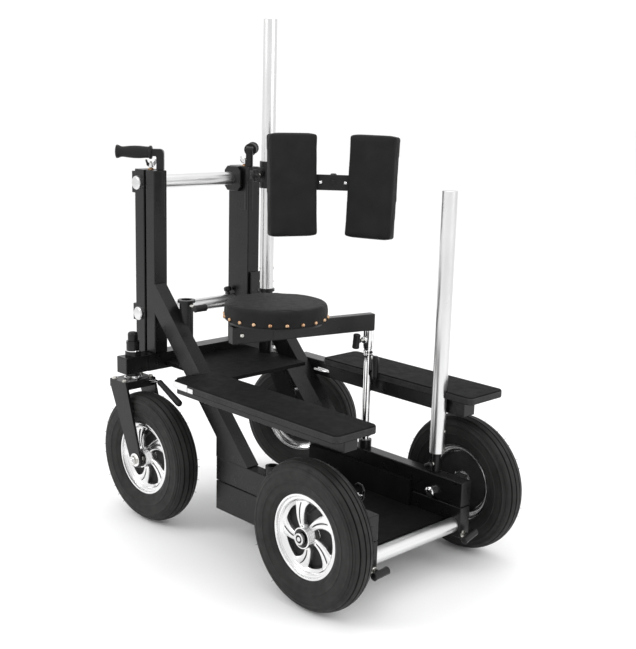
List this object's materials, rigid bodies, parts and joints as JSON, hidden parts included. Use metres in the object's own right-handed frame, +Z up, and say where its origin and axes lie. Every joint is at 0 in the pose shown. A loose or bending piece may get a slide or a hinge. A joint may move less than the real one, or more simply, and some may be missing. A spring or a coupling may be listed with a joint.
{
  "type": "camera operator dolly",
  "caption": "Four-wheeled camera operator's dolly: fixed front wheels, swivelling rear wheels, low platform, side benches, turning seat, back rest on a pole and push handles.",
  "frame": {"origin": "middle of the whole dolly's footprint, on the floor", "axes": "+X forward to the low platform, +Y to the seated operator's left, +Z up"},
  "size_m": [1.172, 0.8407, 1.536],
  "materials": {
    "black_steel": "satin",
    "satin_aluminium": "satin",
    "alloy": "gloss",
    "chrome": "gloss",
    "rubber": "matte",
    "board": "matte",
    "vinyl": "matte",
    "plastic": "satin"
  },
  "bodies": {
    "chassis": {"right_upper_rail": "black_steel", "left_upper_rail": "black_steel", "right_lower_box": "black_steel", "left_lower_box": "black_steel", "right_strut": "black_steel", "left_strut": "black_steel", "right_upright": "black_steel", "left_upright": "black_steel", "rear_beam": "black_steel", "front_cross_tube": "satin_aluminium", "top_cross_tube": "satin_aluminium", "lower_cross_tube": "satin_aluminium", "front_stub_axles": "chrome", "platform_tray": "black_steel", "upper_deck": "black_steel", "bench_beams": "black_steel", "right_bench_board": "board", "left_bench_board": "board", "pole_sockets": "black_steel", "seat_sockets": "black_steel", "pole_stub": "black_steel", "tube_clamps": "black_steel"},
    "right_front_wheel": {"right_front_tyre": "rubber", "right_front_rim": "alloy"},
    "right_slide": {"right_track_slide": "black_steel"},
    "right_fork_body": {"right_fork": "black_steel", "right_kingpin": "black_steel", "right_rear_axle": "chrome"},
    "right_rear_wheel": {"right_rear_tyre": "rubber", "right_rear_rim": "alloy"},
    "right_lever": {"right_lock_lever": "black_steel"},
    "right_handle": {"right_push_handle": "black_steel"},
    "right_rail_clamp": {"right_rail_knob": "plastic"},
    "right_wing": {"right_wing_screw": "plastic"},
    "left_front_wheel": {"left_front_tyre": "rubber", "left_front_rim": "alloy"},
    "left_slide": {"left_track_slide": "black_steel"},
    "left_fork_body": {"left_fork": "black_steel", "left_kingpin": "black_steel", "left_rear_axle": "chrome"},
    "left_rear_wheel": {"left_rear_tyre": "rubber", "left_rear_rim": "alloy"},
    "left_lever": {"left_lock_lever": "black_steel"},
    "left_handle": {"left_push_handle": "black_steel"},
    "left_rail_clamp": {"left_rail_knob": "plastic"},
    "left_wing": {"left_wing_screw": "plastic"},
    "seat_column": {"seat_post": "chrome"},
    "seat_arm_body": {"seat_arm": "black_steel"},
    "seat": {"seat_plate": "black_steel", "seat_cushion": "vinyl"},
    "seat_clamp": {"seat_lever": "plastic"},
    "tall_pole": {"rear_pole": "satin_aluminium"},
    "backrest_carrier": {"backrest_arm": "black_steel"},
    "backrest": {"backrest_plate": "black_steel", "right_back_pad": "vinyl", "left_back_pad": "vinyl"},
    "backrest_clamp": {"backrest_knob": "plastic"},
    "short_pole": {"front_pole": "satin_aluminium"},
    "front_pole_clamp": {"front_pole_knob": "plastic"},
    "socket_clamp": {"socket_knob": "plastic"}
  },
  "joints": [
    {"name": "right_front_wheel_spin", "type": "hinge", "parent": "chassis", "child": "right_front_wheel", "pos_m": [0.3832, -0.3746, 0.203], "axis": [0, 1, 0], "continuous": true},
    {"name": "right_track_extend", "type": "slide", "parent": "chassis", "child": "right_slide", "axis": [0, -1, 0], "range_m": [0, 0.066]},
    {"name": "right_fork_swivel", "type": "hinge", "parent": "right_slide", "child": "right_fork_body", "pos_m": [-0.4668, -0.3416, 0.437], "axis": [0, 0, 1], "continuous": true},
    {"name": "right_rear_wheel_spin", "type": "hinge", "parent": "right_fork_body", "child": "right_rear_wheel", "pos_m": [-0.38285, -0.33867, 0.203], "axis": [-0.0349, 0.9994, 0], "continuous": true},
    {"name": "right_lock_lever_turn", "type": "hinge", "parent": "right_fork_body", "child": "right_lever", "pos_m": [-0.42887, -0.31026, 0.431], "axis": [0.9994, 0.0349, 0], "range_deg": [-25, 25]},
    {"name": "right_handle_turn", "type": "hinge", "parent": "chassis", "child": "right_handle", "pos_m": [-0.4548, -0.2426, 1.128], "axis": [0, 0, 1], "range_deg": [-90, 45]},
    {"name": "right_rail_knob_turn", "type": "hinge", "parent": "chassis", "child": "right_rail_clamp", "pos_m": [0.4902, -0.2506, 0.103], "axis": [1, 0, 0], "range_deg": [-180, 180]},
    {"name": "right_wing_screw_turn", "type": "hinge", "parent": "chassis", "child": "right_wing", "pos_m": [-0.4898, -0.2526, 1.075], "axis": [0, 0, 1], "range_deg": [-180, 180]},
    {"name": "left_front_wheel_spin", "type": "hinge", "parent": "chassis", "child": "left_front_wheel", "pos_m": [0.3832, 0.2434, 0.203], "axis": [0, 1, 0], "continuous": true},
    {"name": "left_track_extend", "type": "slide", "parent": "chassis", "child": "left_slide", "axis": [0, 1, 0], "range_m": [-0.066, 0]},
    {"name": "left_fork_swivel", "type": "hinge", "parent": "left_slide", "child": "left_fork_body", "pos_m": [-0.4668, 0.2764, 0.437], "axis": [0, 0, 1], "continuous": true},
    {"name": "left_rear_wheel_spin", "type": "hinge", "parent": "left_fork_body", "child": "left_rear_wheel", "pos_m": [-0.39018, 0.31083, 0.203], "axis": [-0.4099, 0.9121, 0], "continuous": true},
    {"name": "left_lock_lever_turn", "type": "hinge", "parent": "left_fork_body", "child": "left_lever", "pos_m": [-0.41893, 0.26502, 0.431], "axis": [0.9121, 0.4099, 0], "range_deg": [-25, 25]},
    {"name": "left_handle_turn", "type": "hinge", "parent": "chassis", "child": "left_handle", "pos_m": [-0.4548, 0.1114, 1.128], "axis": [0, 0, 1], "range_deg": [-45, 90]},
    {"name": "left_rail_knob_turn", "type": "hinge", "parent": "chassis", "child": "left_rail_clamp", "pos_m": [0.4902, 0.1194, 0.103], "axis": [1, 0, 0], "range_deg": [-180, 180]},
    {"name": "left_wing_screw_turn", "type": "hinge", "parent": "chassis", "child": "left_wing", "pos_m": [-0.4898, 0.1214, 1.075], "axis": [0, 0, 1], "range_deg": [-180, 180]},
    {"name": "seat_height", "type": "slide", "parent": "chassis", "child": "seat_column", "axis": [0, 0, 1], "range_m": [-0.012, 0.1]},
    {"name": "seat_arm_swing", "type": "hinge", "parent": "seat_column", "child": "seat_arm_body", "pos_m": [0.0932, 0.1244, 0.626], "axis": [0, 0, 1], "range_deg": [-40, 55]},
    {"name": "seat_turn", "type": "hinge", "parent": "seat_arm_body", "child": "seat", "pos_m": [0.01789, -0.18455, 0.676], "axis": [0, 0, 1], "continuous": true},
    {"name": "seat_lever_turn", "type": "hinge", "parent": "seat_column", "child": "seat_clamp", "pos_m": [0.0932, 0.1079, 0.598], "axis": [0, -1, 0], "range_deg": [-90, 90]},
    {"name": "rear_pole_turn", "type": "hinge", "parent": "chassis", "child": "tall_pole", "pos_m": [-0.3448, 0.0964, 0.69], "axis": [0, 0, 1], "range_deg": [-50, 50]},
    {"name": "backrest_height", "type": "slide", "parent": "tall_pole", "child": "backrest_carrier", "axis": [0, 0, 1], "range_m": [-0.14, 0.35]},
    {"name": "backrest_turn", "type": "hinge", "parent": "backrest_carrier", "child": "backrest", "pos_m": [-0.0488, 0.0964, 1.058], "axis": [0, 0, 1], "range_deg": [-25, 60]},
    {"name": "backrest_knob_turn", "type": "hinge", "parent": "backrest_carrier", "child": "backrest_clamp", "pos_m": [-0.3448, 0.0614, 1.058], "axis": [0, -1, 0], "range_deg": [-180, 180]},
    {"name": "front_pole_lift", "type": "slide", "parent": "chassis", "child": "short_pole", "axis": [0, 0, 1], "range_m": [0, 0.05]},
    {"name": "front_pole_knob_turn", "type": "hinge", "parent": "chassis", "child": "front_pole_clamp", "pos_m": [0.3752, 0.1139, 0.282], "axis": [0, -1, 0], "range_deg": [-180, 180]},
    {"name": "socket_knob_turn", "type": "hinge", "parent": "chassis", "child": "socket_clamp", "pos_m": [-0.3238, -0.2276, 0.674], "axis": [1, 0, 0], "range_deg": [-180, 180]}
  ]
}
